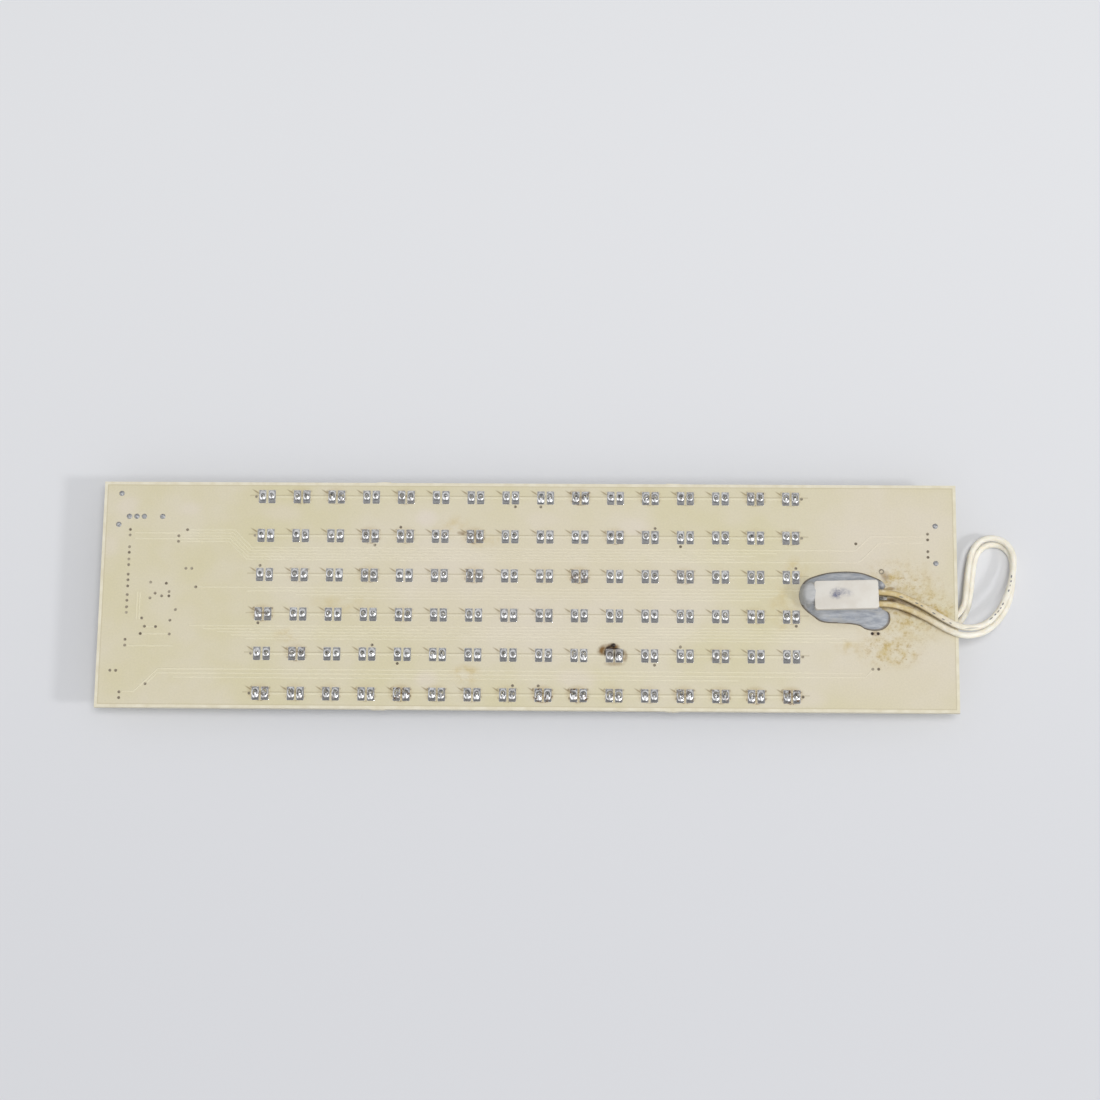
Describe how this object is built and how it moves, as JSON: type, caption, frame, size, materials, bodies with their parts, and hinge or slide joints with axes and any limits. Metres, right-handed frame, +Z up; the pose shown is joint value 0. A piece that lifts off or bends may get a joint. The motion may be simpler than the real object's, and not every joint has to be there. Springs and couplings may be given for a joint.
{
  "type": "led light circuit board",
  "caption": "Long flat printed circuit board with a grid of through-hole lamps soldered from the back, a glued thermal cut-out and its two looped lead wires.",
  "frame": {"origin": "centre of the board in plan, level with the tips of the lamps that it lies on", "axes": "+X along the board towards the end with the thermal cut-out, +Y across it towards the edge nearest the supply header, +Z up out of the soldered back"},
  "size_m": [0.2617, 0.0666, 0.0148],
  "materials": {
    "board": "satin",
    "lens": "gloss",
    "solder": "satin",
    "tinned_metal": "satin",
    "pin_metal": "satin",
    "case_white": "satin",
    "adhesive": "matte",
    "wire_cream": "satin",
    "moulded_black": "matte",
    "resistor": "satin"
  },
  "bodies": {
    "root": {"adhesive_bed": "adhesive", "ballast_resistor_1": "resistor", "ballast_resistor_2": "resistor", "ballast_resistor_3": "resistor", "ballast_resistor_4": "resistor", "ballast_resistor_5": "resistor", "ballast_resistor_6": "resistor", "ballast_resistor_7": "resistor", "circuit_board": "board", "cutout_case": "case_white", "cutout_seal": "moulded_black", "cutout_tab": "tinned_metal", "driver_chip": "moulded_black", "led_row_1": "lens", "led_row_2": "lens", "led_row_3": "lens", "led_row_4": "lens", "led_row_5": "lens", "led_row_6": "lens", "solder_row_1": "solder", "solder_row_2": "solder", "solder_row_3": "solder", "solder_row_4": "solder", "solder_row_5": "solder", "solder_row_6": "solder", "supply_header": "moulded_black", "supply_pins": "pin_metal", "supply_solder": "solder", "test_points": "solder", "wire_joint_lower": "solder", "wire_joint_upper": "solder", "wire_lower": "wire_cream", "wire_upper": "wire_cream"}
  },
  "joints": []
}
